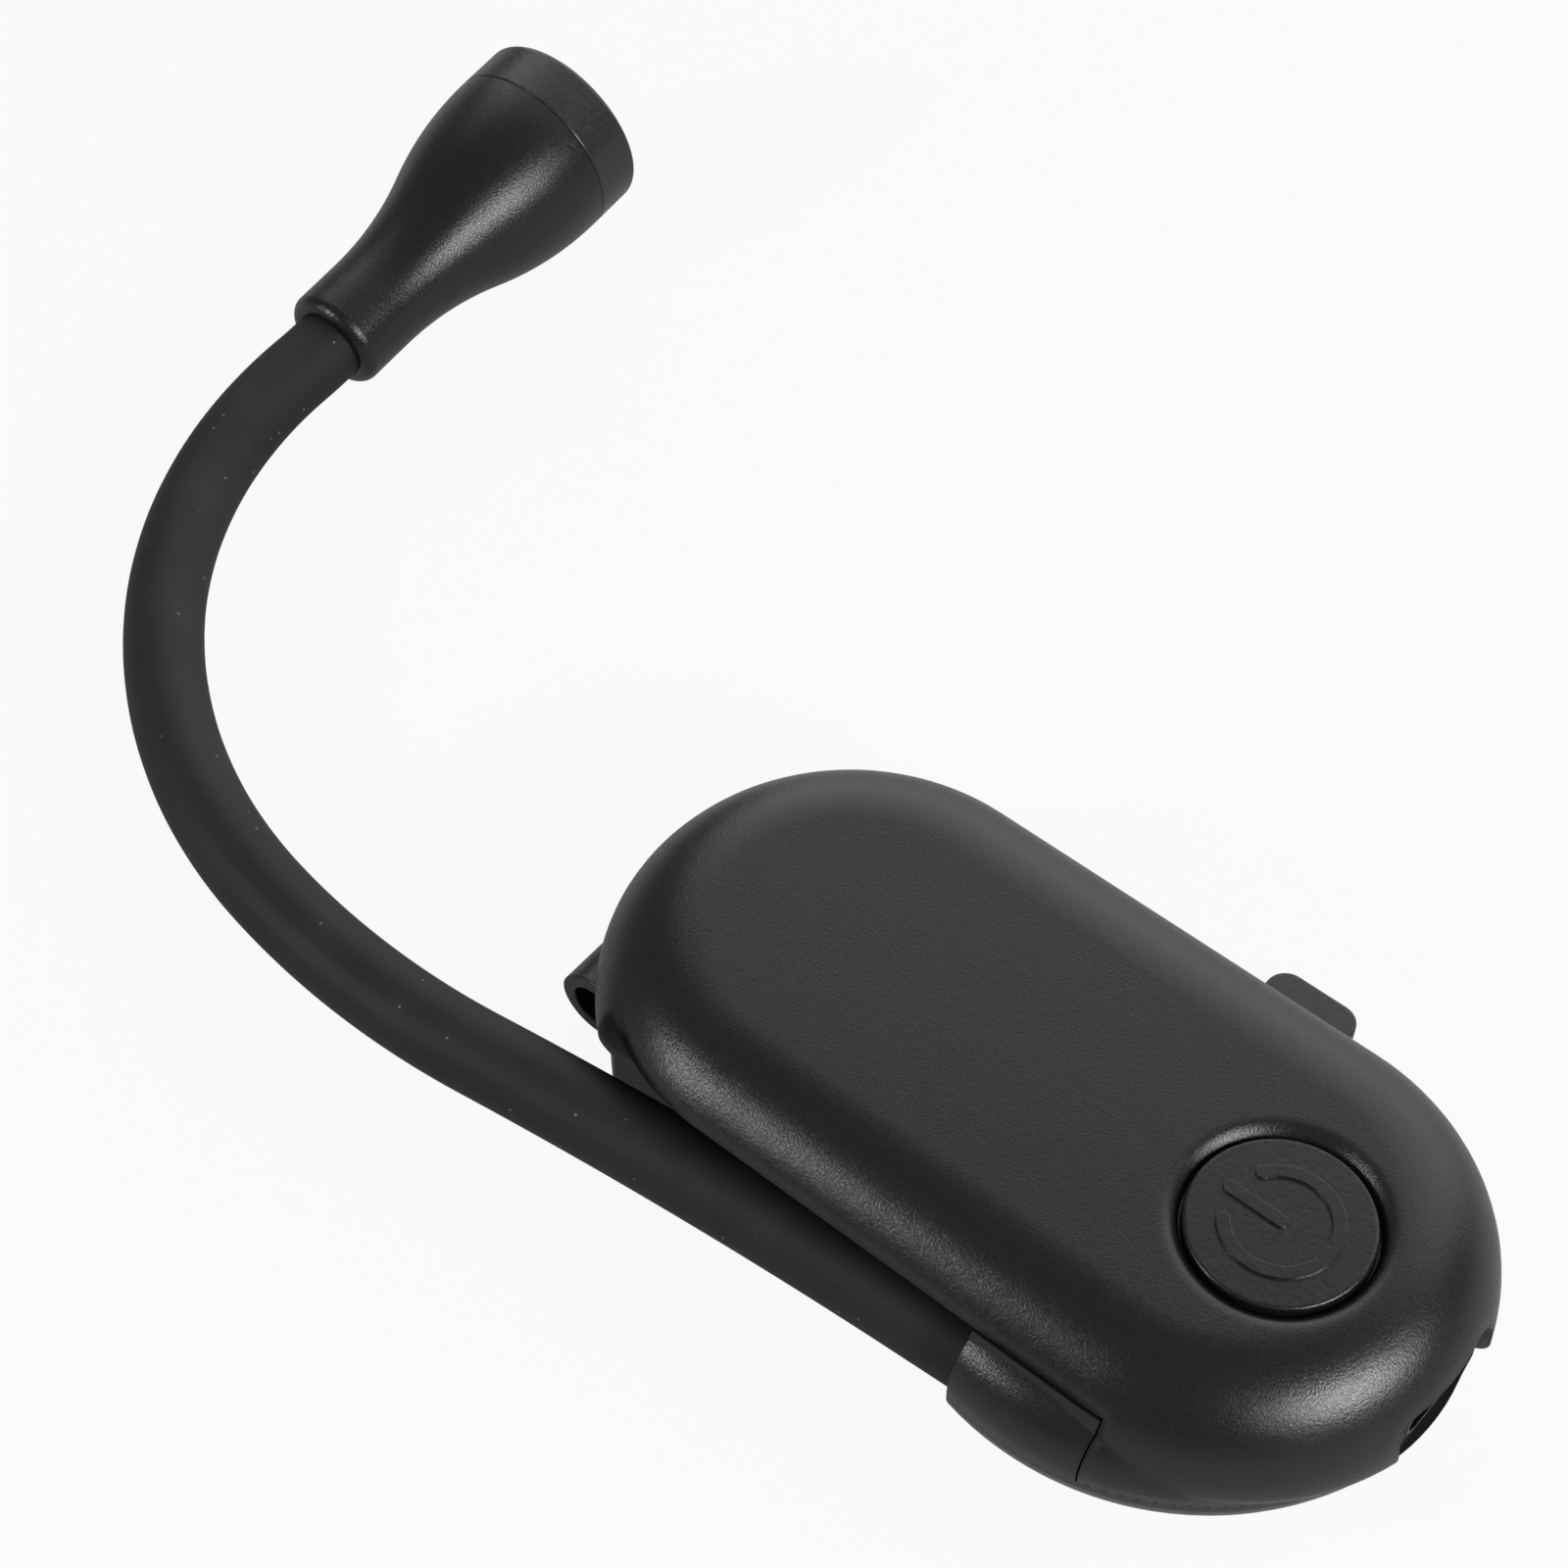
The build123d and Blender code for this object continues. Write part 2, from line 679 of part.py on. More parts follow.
def build():
    """Makes and writes every piece."""
    save("upper_housing", upper_housing())
    save("lower_housing", lower_housing())
    save("neck_socket", neck_socket())

    save("clip_jaw", clip_jaw())
    save("jaw_pad", jaw_pad())
    save("grip_pad", block(*pad_box, running_fit, pad_depth - running_fit))
    save("clip_pin", tube_y(hinge_x, hinge_z, -web_outer_y, web_outer_y, pin_radius))
    save("clip_spring", clip_spring())

    save("power_button", power_button())
    plunger_end = board_top + switch_body - button_travel - 2 * slip_fit
    save("switch_plunger", tube_z(button_x, 0, plunger_end, switch_top(), plunger_radius))
    half = switch_size / 2
    switch_end = board_top + switch_body
    switch = block(button_x - half, button_x + half, -half, half, board_top, switch_end)
    switch -= tube_z(button_x, 0, board_top + 1, far, plunger_radius + running_fit)
    save("tact_switch", switch)
    half = board_length / 2
    side = board_half_width
    board = block(board_x - half, board_x + half, -side, side, board_top - board_thick, board_top)
    save("main_board", board)
    shell = Plane((mouth_x - plug_depth, 0, port_z), x_dir=(0, 1, 0), z_dir=(1, 0, 0))
    mouth = RectangleRounded(plug_width, plug_height, plug_height / 2 - 0.01)
    port = extrude(shell * mouth, amount=plug_depth)
    inside = shell.offset(1.0) * RectangleRounded(
        plug_width - 2 * plug_wall, plug_height - 2 * plug_wall, plug_height / 2 - plug_wall - 0.01
    )
    port -= extrude(inside, amount=plug_depth)
    half = plug_tongue / 2
    thick = plug_wall
    port += block(mouth_x - plug_depth, mouth_x - 1.5, -half, half, port_z - thick, port_z + thick)
    save("usb_port", port)
    cell_x, cell_y, cell_z = battery_size
    cell = block(
        battery_x - cell_x / 2,
        battery_x + cell_x / 2,
        battery_y - cell_y / 2,
        battery_y + cell_y / 2,
        shell_wall + running_fit,
        shell_wall + running_fit + cell_z,
    )
    save("battery_cell", fillet(cell.edges().filter_by(Axis.Z), 1.5))
    screws = []
    for x, y in screw_spots:
        screw = tube_z(x, y, screw_sink, screw_seat, screw_head)
        screw += tube_z(x, y, screw_sink, screw_seat + screw_length, screw_radius)
        half = screw_slot / 2
        screws.append(screw - block(x - far, x + far, y - half, y + half, 0, screw_sink + screw_slot))
    save("housing_screws", Compound(children=screws))

    for number in range(neck_joints + 1):
        start = -core_tail if number == 0 else joint_at(number) + link_gap / 2
        last = number == neck_joints
        end = free_length + head_step_depth + anchor_width if last else joint_at(number + 1) - link_gap / 2
        save(f"neck_core_{number}", neck_tube(start, end, core_radius, core_bore))
    for number in range(1, neck_joints + 1):
        start = -socket_depth if number == 1 else joint_at(number) - joint_pitch / 2
        end = free_length + head_bore_depth if number == neck_joints else joint_at(number) + joint_pitch / 2
        save(f"neck_sleeve_{number}", neck_tube(start, end, neck_radius, neck_radius - sleeve_wall))
    ring = core_radius + anchor_wall
    save("socket_anchor", neck_tube(-core_tail, anchor_width - core_tail - running_fit, ring, core_radius))

    place, heading = neck_at(free_length)
    head = Plane(place, z_dir=heading).location
    led_top = led_ledge + led_board_thick
    for name, shape in (
        ("lamp_shell", lamp_shell()),
        ("lamp_bezel", lamp_bezel()),
        ("reflector", reflector()),
        ("lamp_lens", lamp_lens()),
        ("led_board", tube_z(0, 0, led_ledge, led_top, head_radius - head_wall - slip_fit)),
        ("led_chip", Pos(0, 0, led_top + led_height / 2) * Box(led_size, led_size, led_height)),
        (
            "head_anchor",
            tube_z(0, 0, head_step_depth + running_fit, head_step_depth + anchor_width, ring)
            - tube_z(0, 0, 0, far, core_radius),
        ),
    ):
        save(name, head * shape)


build()
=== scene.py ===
import logging
import math
from abc import ABC, abstractmethod
from collections.abc import Iterator
from dataclasses import dataclass, field
from typing import Any

import bpy
from mathutils import Euler, Matrix, Vector


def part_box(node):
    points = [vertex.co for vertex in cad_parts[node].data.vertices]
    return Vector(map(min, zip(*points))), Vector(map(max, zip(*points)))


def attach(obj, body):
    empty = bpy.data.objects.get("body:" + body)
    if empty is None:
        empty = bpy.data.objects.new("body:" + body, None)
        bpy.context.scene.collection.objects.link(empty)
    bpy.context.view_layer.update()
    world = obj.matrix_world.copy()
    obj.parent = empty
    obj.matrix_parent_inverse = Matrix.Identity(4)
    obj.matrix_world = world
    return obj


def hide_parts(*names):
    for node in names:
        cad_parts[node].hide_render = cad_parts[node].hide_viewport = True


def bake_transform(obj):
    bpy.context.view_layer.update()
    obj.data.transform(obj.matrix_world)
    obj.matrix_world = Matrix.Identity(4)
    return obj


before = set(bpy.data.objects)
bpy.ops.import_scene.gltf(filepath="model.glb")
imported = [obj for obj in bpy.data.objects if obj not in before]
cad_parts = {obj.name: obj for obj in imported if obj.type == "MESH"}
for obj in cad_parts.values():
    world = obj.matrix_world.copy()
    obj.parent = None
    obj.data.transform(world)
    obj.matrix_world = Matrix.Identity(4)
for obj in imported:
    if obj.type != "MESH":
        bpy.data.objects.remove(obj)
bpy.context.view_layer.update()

MM = 0.001
UP = Vector((0.0, 0.0, 1.0))
WHITE = (1.0, 1.0, 1.0, 1.0)
# Millimetres by which a distance may fall short of a stretch's start, and the shortest stretch worth drawing.
SLACK = 1e-9
SHORTEST = 1e-6
# Metres within which points are joined.
WELD = 1e-6
log = logging.getLogger("reading_lamp")


def srgb(code: str) -> tuple[float, float, float, float]:
    """Turns an sRGB hex colour into the linear values that sockets take.

    Args:
        code: Six hex digits with a leading hash.

    Returns:
        Linear red, green, blue and an alpha of one.
    """
    values = [int(code[i : i + 2], 16) / 255 for i in (1, 3, 5)]
    linear = [v / 12.92 if v <= 0.04045 else ((v + 0.055) / 1.055) ** 2.4 for v in values]
    return (*linear, 1.0)


def add_node(
    tree: bpy.types.NodeTree,
    kind: str,
    links: dict[str | int, Any] | None = None,
    values: dict[str | int, Any] | None = None,
    **settings: Any,
) -> bpy.types.Node:
    """Adds one shader node with its settings, socket values and incoming links.

    Args:
        tree: The material's node tree.
        kind: The node's type name.
        links: Input socket name or number to the output socket that feeds it.
        values: Input socket name or number to its plain value.
        settings: Properties of the node itself.

    Returns:
        The new node.
    """
    node = tree.nodes.new(kind)
    for name, value in settings.items():
        setattr(node, name, value)
    for name, value in (values or {}).items():
        node.inputs[name].default_value = value
    for name, output in (links or {}).items():
        tree.links.new(output, node.inputs[name])
    return node


def noise(
    tree: bpy.types.NodeTree,
    place: bpy.types.NodeSocket,
    size_mm: float,
    detail: float,
    roughness: float = 0.5,
) -> bpy.types.NodeSocket:
    """Adds a noise pattern.

    Args:
        tree: The material's node tree.
        place: The socket with the coordinates.
        size_mm: Size of the pattern, in millimetres.
        detail: Number of finer layers in it.
        roughness: Weight of the finer layers.

    Returns:
        The socket with the pattern, about zero to one.
    """
    values = {"Scale": 1 / (size_mm * MM), "Detail": detail, "Roughness": roughness}
    return add_node(tree, "ShaderNodeTexNoise", {"Vector": place}, values).outputs["Fac"]


def remap(
    tree: bpy.types.NodeTree,
    value: bpy.types.NodeSocket,
    to: tuple[float, float],
    source: tuple[float, float] = (0.0, 1.0),
) -> bpy.types.NodeSocket:
    """Maps one range of a value onto another.

    Args:
        tree: The material's node tree.
        value: The socket with the value.
        to: What the range's two ends become.
        source: The range's two ends.

    Returns:
        The socket with the result.
    """
    ends = dict(zip(("From Min", "From Max", "To Min", "To Max"), (*source, *to)))
    return add_node(tree, "ShaderNodeMapRange", {"Value": value}, ends).outputs["Result"]


def two_tone(
    tree: bpy.types.NodeTree, share: bpy.types.NodeSocket, first: str, second: str
) -> bpy.types.NodeSocket:
    """Mixes two colours.

    Args:
        tree: The material's node tree.
        share: The socket with the second colour's share.
        first: The colour at a share of zero.
        second: The colour at a share of one.

    Returns:
        The socket with the colour.
    """
    ends = {"A": srgb(first), "B": srgb(second)}
    return add_node(tree, "ShaderNodeMix", {"Factor": share}, ends, data_type="RGBA").outputs["Result"]


@dataclass(frozen=True)
class Finish(ABC):
    """A procedural finish, patterned in its piece's own space."""

    name: str

    def make(self) -> bpy.types.Material:
        """Builds the material.

        Returns:
            The finished material.
        """
        material = bpy.data.materials.new(self.name)
        material.use_nodes = True
        tree = material.node_tree
        place = add_node(tree, "ShaderNodeTexCoord").outputs["Object"]
        self.paint(tree, tree.nodes["Principled BSDF"], place)
        return material

    @abstractmethod
    def paint(
        self, tree: bpy.types.NodeTree, shader: bpy.types.Node, place: bpy.types.NodeSocket
    ) -> None:
        """Adds the finish's own nodes.

        Args:
            tree: The material's node tree.
            shader: Its surface shader.
            place: The socket with the piece's own coordinates.
        """


@dataclass(frozen=True)
class MouldedPlastic(Finish):
    """Moulded ABS: a dark body colour with a tool-eroded grain that breaks highlights up into sparkle."""

    colour: str
    shade: str
    roughness: float
    grain_mm: float
    grain_depth: float
    cloud_mm: float = 14.0
    edge_mm: float = 0.0
    edge_samples: int = 8
    pit_range: tuple[float, float] = (0.3, 0.7)
    gloss_swing: float = 0.1
    ior: float = 1.53

    def paint(
        self, tree: bpy.types.NodeTree, shader: bpy.types.Node, place: bpy.types.NodeSocket
    ) -> None:
        """Adds the cloudy tint, the grain and the rounded edges.

        Args:
            tree: The material's node tree.
            shader: Its surface shader.
            place: The socket with the piece's own coordinates.
        """
        cloud = noise(tree, place, self.cloud_mm, detail=3.0, roughness=0.55)
        tree.links.new(two_tone(tree, cloud, self.shade, self.colour), shader.inputs["Base Color"])
        pits = noise(tree, place, self.grain_mm, detail=2.0, roughness=0.7)
        ends = (self.roughness - self.gloss_swing, self.roughness + self.gloss_swing)
        tree.links.new(remap(tree, pits, ends, self.pit_range), shader.inputs["Roughness"])
        depth = {"Strength": self.grain_depth, "Distance": self.grain_mm * MM}
        bump = add_node(tree, "ShaderNodeBump", {"Height": pits}, depth)
        if self.edge_mm:
            # Moulded edges are never sharp: even a slight rounding catches a thin line of light.
            radius = {"Radius": self.edge_mm * MM}
            rounding = add_node(tree, "ShaderNodeBevel", values=radius, samples=self.edge_samples)
            tree.links.new(rounding.outputs["Normal"], bump.inputs["Normal"])
        tree.links.new(bump.outputs["Normal"], shader.inputs["Normal"])
        shader.inputs["IOR"].default_value = self.ior


@dataclass(frozen=True)
class Silicone(Finish):
    """Extruded silicone rubber: dull and even, with a thin film and a few specks of dust."""

    colour: str
    dust: str
    roughness: float = 0.62
    dust_mm: float = 2.2
    speck: tuple[float, float] = (0.045, 0.065)
    film_mm: float = 9.0
    film_range: tuple[float, float] = (0.35, 0.75)
    film_share: float = 0.06
    skin_mm: float = 0.3
    skin_depth_mm: float = 0.1
    skin_strength: float = 0.08
    ior: float = 1.43

    def paint(
        self, tree: bpy.types.NodeTree, shader: bpy.types.Node, place: bpy.types.NodeSocket
    ) -> None:
        """Adds the dust and the skin's fine unevenness.

        Args:
            tree: The material's node tree.
            shader: Its surface shader.
            place: The socket with the piece's own coordinates.
        """
        # A speck of dust is about a tenth of a millimetre; the cells set how far apart they lie.
        cells = {"Scale": 1 / (self.dust_mm * MM), "Randomness": 1.0}
        specks = add_node(tree, "ShaderNodeTexVoronoi", {"Vector": place}, cells)
        spot = remap(tree, specks.outputs["Distance"], (1.0, 0.0), self.speck)
        cloud = noise(tree, place, self.film_mm, detail=4.0, roughness=0.6)
        film = remap(tree, cloud, (0.0, self.film_share), self.film_range)
        both = add_node(
            tree, "ShaderNodeMath", {0: spot, 1: film}, operation="MAXIMUM", use_clamp=True
        )
        tint = two_tone(tree, both.outputs[0], self.colour, self.dust)
        tree.links.new(tint, shader.inputs["Base Color"])
        skin = noise(tree, place, self.skin_mm, detail=2.0)
        depth = {"Strength": self.skin_strength, "Distance": self.skin_depth_mm * MM}
        bump = add_node(tree, "ShaderNodeBump", {"Height": skin}, depth)
        tree.links.new(bump.outputs["Normal"], shader.inputs["Normal"])
        shader.inputs["Roughness"].default_value = self.roughness
        shader.inputs["IOR"].default_value = self.ior


@dataclass(frozen=True)
class Metal(Finish):
    """Drawn or plated metal: fine lines along the draw set the gloss, brighter and duller by turns."""

    colour: str
    dull: str
    roughness: float
    line_mm: float = 0.15
    drawn_out: float = 12.0
    gloss_swing: float = 0.08

    def paint(
        self, tree: bpy.types.NodeTree, shader: bpy.types.Node, place: bpy.types.NodeSocket
    ) -> None:
        """Adds the drawn lines.

        Args:
            tree: The material's node tree.
            shader: Its surface shader.
            place: The socket with the piece's own coordinates.
        """
        squeeze = {"Scale": (1.0, self.drawn_out, self.drawn_out)}
        lines = add_node(tree, "ShaderNodeMapping", {"Vector": place}, squeeze).outputs["Vector"]
        brush = noise(tree, lines, self.line_mm * self.drawn_out, detail=3.0)
        ends = (self.roughness - self.gloss_swing, self.roughness + self.gloss_swing)
        tree.links.new(remap(tree, brush, ends), shader.inputs["Roughness"])
        tree.links.new(two_tone(tree, brush, self.colour, self.dull), shader.inputs["Base Color"])
        shader.inputs["Metallic"].default_value = 1.0


@dataclass(frozen=True)
class ClearLens(Finish):
    """Moulded clear polycarbonate: see-through, with faint flow marks in its gloss."""

    colour: str = "#f4f8f8"
    flow_mm: float = 3.0
    gloss: tuple[float, float] = (0.02, 0.12)
    ior: float = 1.58

    def paint(
        self, tree: bpy.types.NodeTree, shader: bpy.types.Node, place: bpy.types.NodeSocket
    ) -> None:
        """Adds the flow marks.

        Args:
            tree: The material's node tree.
            shader: Its surface shader.
            place: The socket with the piece's own coordinates.
        """
        flow = noise(tree, place, self.flow_mm, detail=2.0)
        tree.links.new(remap(tree, flow, self.gloss), shader.inputs["Roughness"])
        shader.inputs["Base Color"].default_value = srgb(self.colour)
        shader.inputs["IOR"].default_value = self.ior
        shader.inputs["Transmission Weight"].default_value = 1.0


class Finishes:
    """All finishes of the lamp, each made once."""

    def __init__(self) -> None:
        """Makes the materials."""
        eroded = ("#161617", "#131314", 0.27, 0.18, 0.23)
        self.grained = MouldedPlastic("abs_spark_grain", *eroded).make()
        self.blended = MouldedPlastic("abs_spark_grain_soft", *eroded, edge_mm=1.4).make()
        self.smooth = MouldedPlastic("abs_satin", "#161617", "#141415", 0.32, 0.5, 0.06, edge_mm=0.14).make()
        self.bare = MouldedPlastic("abs_bare", "#2b2b2c", "#272728", 0.3, 0.5, 0.05, edge_mm=0.35).make()
        self.silicone = Silicone("silicone_extruded", "#181818", "#70706e").make()
        self.pad = Silicone("rubber_pad", "#1d1d1d", "#3c3c3a", 0.75, 7.0).make()
        self.steel = Metal("steel_drawn", "#b9babd", "#8d8e92", 0.32).make()
        self.nickel = Metal("steel_nickel_plated", "#c9c6bf", "#aaa79f", 0.25).make()
        self.black_nickel = Metal("steel_black_nickel", "#3a3a3c", "#2b2b2d", 0.38).make()
        self.mirror = Metal("aluminised_reflector", "#e4e5e6", "#cfd0d2", 0.14, 0.5).make()
        self.foil = Metal("cell_foil", "#9fa3a8", "#7d8186", 0.42, 0.6).make()
        self.board = MouldedPlastic("solder_mask", "#1d5a34", "#174a2a", 0.35, 0.4, 0.08).make()
        self.white_board = MouldedPlastic("white_solder_mask", "#e9e9e4", "#dcdcd6", 0.4, 0.4, 0.06).make()
        self.phosphor = MouldedPlastic("led_phosphor", "#efd067", "#e0bb4a", 0.5, 0.3, 0.15).make()
        self.switch = MouldedPlastic("switch_nylon", "#1c1c1d", "#161617", 0.45, 0.3, 0.1).make()
        self.lens = ClearLens("polycarbonate_lens").make()


def dress(material: bpy.types.Material, *names: str) -> None:
    """Gives CAD nodes a finish.

    Args:
        material: The finish.
        names: The nodes' names.
    """
    for name in names:
        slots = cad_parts[name].data.materials
        slots.clear()
        slots.append(material)


def begin(name: str) -> None:
    """Deselects all that is in the scene, ready for a new piece.

    Args:
        name: The piece's name, for the log.
    """
    bpy.ops.object.select_all(action="DESELECT")
    log.info("making %s", name)


def open_ring(name: str, sides: int, radius: float, place: Vector, turn: Euler) -> None:
    """Starts a tube: adds a ring and leaves it selected in edit mode.

    Args:
        name: The piece's name, for the log.
        sides: The ring's number of points.
        radius: Its radius, in metres.
        place: Its centre.
        turn: Its turn.
    """
    begin(name)
    bpy.ops.mesh.primitive_circle_add(vertices=sides, radius=radius, location=place, rotation=turn)
    bpy.ops.object.transform_apply(location=True, rotation=True, scale=True)
    bpy.ops.object.mode_set(mode="EDIT")
    bpy.ops.mesh.select_all(action="SELECT")


def extrude(move: Vector) -> None:
    """Extrudes what is selected.

    Args:
        move: How far and which way, in metres.
    """
    bpy.ops.mesh.extrude_region_move(TRANSFORM_OT_translate={"value": move})


def settle(name: str, material: bpy.types.Material, angle: float = 35.0) -> bpy.types.Object:
    """Names the active piece, applies its place, smooths it and gives it its finish.

    Args:
        name: The piece's name.
        material: Its finish.
        angle: Edges sharper than this stay sharp, in degrees.

    Returns:
        The piece.
    """
    piece = bpy.context.object
    piece.name = name
    piece.data.name = name
    bpy.ops.object.transform_apply(location=True, rotation=True, scale=True)
    bpy.ops.object.shade_smooth_by_angle(angle=math.radians(angle))
    piece.data.materials.clear()
    piece.data.materials.append(material)
    return piece


def finish_modifier(kind: str, **settings: Any) -> None:
    """Adds a modifier to the active piece and applies it.

    Args:
        kind: The modifier's type.
        settings: Its settings.
    """
    modifier = bpy.context.object.modifiers.new(kind.lower(), kind)
    for name, value in settings.items():
        setattr(modifier, name, value)
    bpy.ops.object.modifier_apply(modifier=modifier.name)


@dataclass(frozen=True)
class Stretch:
    """One run or arc of the neck's route, in millimetres and degrees."""

    length: float
    left: float = 0.0
    up: float = 0.0

    @property
    def angle(self) -> float:
        """The whole turn, in radians."""
        return math.radians(self.left + self.up)

    def arm(self, heading: Vector, axis: Vector) -> Vector:
        """The way from an arc's start to its centre.

        Args:
            heading: The heading at the start.
            axis: The turning axis.

        Returns:
            The way, in metres.
        """
        return axis.cross(heading) * (self.length * MM / self.angle)


@dataclass
class Neck:
    """The flexible neck: silicone skin over the steel links.

    Lengths are in millimetres and the heading in degrees.
    """

    mouth: tuple[float, float, float] = (9.0, -17.8, 4.8)
    heading: float = 183.2
    route: tuple[Stretch, ...] = (
        Stretch(6.0),
        Stretch(42.8, left=5.0),
        Stretch(25.9, left=-19.2),
        Stretch(30.0, left=-33.5),
        Stretch(35.4, left=-43.4),
        Stretch(4.0, up=5.4),
        Stretch(14.0),
    )
    radius: float = 3.6
    wall: float = 1.2
    tail: float = 6.5
    head_depth: float = 6.0
    first_joint: float = 7.0
    pitch: float = 18.0
    joints: int = 8
    sides: int = 48
    ring_step: float = 1.0
    bend_half: float = 9.0

    def stretches(self) -> Iterator[tuple[float, Stretch, Vector, Vector, Vector]]:
        """Walks the route.

        Yields:
            For each stretch its start distance, itself, its start point, its heading and its turning axis.
        """
        turn = math.radians(self.heading)
        heading = Vector((math.cos(turn), math.sin(turn), 0.0))
        place = Vector(self.mouth) * MM - heading * self.tail * MM
        done = -self.tail
        for stretch in (Stretch(self.tail), *self.route):
            axis = heading.cross(UP).normalized() if stretch.up else UP
            yield done, stretch, place.copy(), heading.copy(), axis
            place, heading = self.along(stretch, place, heading, axis, stretch.length)
            done += stretch.length

    def along(
        self, stretch: Stretch, place: Vector, heading: Vector, axis: Vector, distance: float
    ) -> tuple[Vector, Vector]:
        """Point and heading at a distance along one stretch.

        Args:
            stretch: The run or arc.
            place: Its start.
            heading: Its heading at the start.
            axis: Its turning axis.
            distance: Millimetres from its start.

        Returns:
            The point and the heading there.
        """
        if not stretch.angle:
            return place + heading * distance * MM, heading
        arm = stretch.arm(heading, axis)
        turn = Matrix.Rotation(stretch.angle * distance / stretch.length, 3, axis)
        return place + arm - turn @ arm, turn @ heading

    def at(self, distance: float) -> tuple[Vector, Vector]:
        """Point and heading at a distance from the socket's mouth.

        Args:
            distance: Millimetres along the neck.

        Returns:
            The point and the heading there.
        """
        found = (Vector(), Vector())
        for start, stretch, place, heading, axis in self.stretches():
            if distance >= start - SLACK:
                found = self.along(stretch, place, heading, axis, min(distance - start, stretch.length))
        return found

    def free_length(self) -> float:
        """Adds up the neck between socket and head.

        Returns:
            Its length in millimetres.
        """
        return sum(stretch.length for stretch in self.route[:-1])

    def section(self, name: str, low: float, high: float, material: bpy.types.Material) -> bpy.types.Object:
        """Models one length of the skin: a ring carried along the route by extruding and spinning.

        Args:
            name: The piece's name.
            low: Where it starts on the route, in millimetres.
            high: Where it ends.
            material: Its finish.

        Returns:
            The piece.
        """
        place, heading = self.at(low)
        side = heading.cross(UP).normalized()
        turn = Matrix((side, heading.cross(side), heading)).transposed().to_euler()
        open_ring(name, self.sides, self.radius * MM, place, turn)
        for start, stretch, base, ahead, axis in self.stretches():
            first, last = max(low, start), min(high, start + stretch.length)
            if last - first < SHORTEST:
                continue
            steps = max(1, math.ceil((last - first) / self.ring_step))
            if stretch.angle:
                centre = base + stretch.arm(ahead, axis)
                sweep = stretch.angle * (last - first) / stretch.length
                bpy.ops.mesh.spin(steps=steps, angle=-sweep, center=centre, axis=axis)
                continue
            for _ in range(steps):
                extrude(ahead * ((last - first) * MM / steps))
        bpy.ops.mesh.select_all(action="SELECT")
        bpy.ops.mesh.remove_doubles(threshold=WELD)
        bpy.ops.mesh.normals_make_consistent(inside=False)
        bpy.ops.object.mode_set(mode="OBJECT")
        finish_modifier("SOLIDIFY", thickness=self.wall * MM, offset=-1.0)
        return settle(name, material)

    def build(self, finishes: Finishes) -> None:
        """Models the skin's lengths, one about each joint, and hides the CAD sleeves they stand in for.

        Args:
            finishes: The lamp's finishes.
        """
        for number in range(1, self.joints + 1):
            middle = self.first_joint + self.pitch * (number - 1)
            low = -self.tail if number == 1 else middle - self.pitch / 2
            last = number == self.joints
            high = self.free_length() + self.head_depth if last else middle + self.pitch / 2
            piece = self.section(f"neck_skin_{number}", low, high, finishes.silicone)
            start, _ = self.at(middle - self.bend_half)
            end, _ = self.at(middle + self.bend_half)
            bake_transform(piece)
            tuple(start)
            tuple(end)
            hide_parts(f"neck_sleeve_{number}")

    def dress(self, finishes: Finishes) -> None:
        """Gives the links and the crimp rings their finishes.

        Args:
            finishes: The lamp's finishes.
        """
        dress(finishes.steel, *(f"neck_core_{i}" for i in range(self.joints + 1)))
        dress(finishes.nickel, "socket_anchor", "head_anchor")
        dress(finishes.silicone, *(f"neck_sleeve_{i}" for i in range(1, self.joints + 1)))


@dataclass
class GripPad:
    """A rubber pad with rounded cross ribs on its top face, let into a jaw."""

    node: str
    body: str
    ribs: int
    rise_mm: float
    rib_span: tuple[float, float] = (0.25, 0.75)
    facing_up: float = 0.9
    edge_mm: float = 0.08
    edge_steps: int = 2
    edge_angle: float = 50.0

    def build(self, finishes: Finishes) -> None:
        """Models the pad in the space of its CAD node.

        Args:
            finishes: The lamp's finishes.
        """
        low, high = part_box(self.node)
        rise = UP * self.rise_mm * MM
        middle, size = (low + high - rise) / 2, high - rise - low
        name = self.node + "_ribbed"
        begin(name)
        bpy.ops.mesh.primitive_cube_add(size=1.0, location=middle, scale=size)
        bpy.ops.object.transform_apply(location=True, rotation=True, scale=True)
        bpy.ops.object.mode_set(mode="EDIT")
        step = size.x / self.ribs
        for i in range(self.ribs):
            for edge in self.rib_span:
                bpy.ops.mesh.select_all(action="SELECT")
                cut = Vector((low.x + step * (i + edge), 0, 0))
                bpy.ops.mesh.bisect(plane_co=cut, plane_no=(1, 0, 0))
        bpy.ops.mesh.select_all(action="DESELECT")
        bpy.ops.object.mode_set(mode="OBJECT")
        piece = bpy.context.object
        near, far = self.rib_span
        for face in piece.data.polygons:
            share = ((face.center.x - low.x) / step) % 1.0
            face.select = face.normal.z > self.facing_up and near < share < far
        bpy.ops.object.mode_set(mode="EDIT")
        bpy.ops.mesh.select_mode(type="FACE")
        extrude(rise)
        bpy.ops.mesh.select_all(action="SELECT")
        bpy.ops.mesh.normals_make_consistent(inside=False)
        bpy.ops.mesh.select_mode(type="VERT")
        bpy.ops.object.mode_set(mode="OBJECT")
        finish_modifier(
            "BEVEL",
            width=self.edge_mm * MM,
            segments=self.edge_steps,
            limit_method="ANGLE",
            angle_limit=math.radians(self.edge_angle),
        )
        settle(name, finishes.pad)
        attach(piece, self.body)
        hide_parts(self.node)


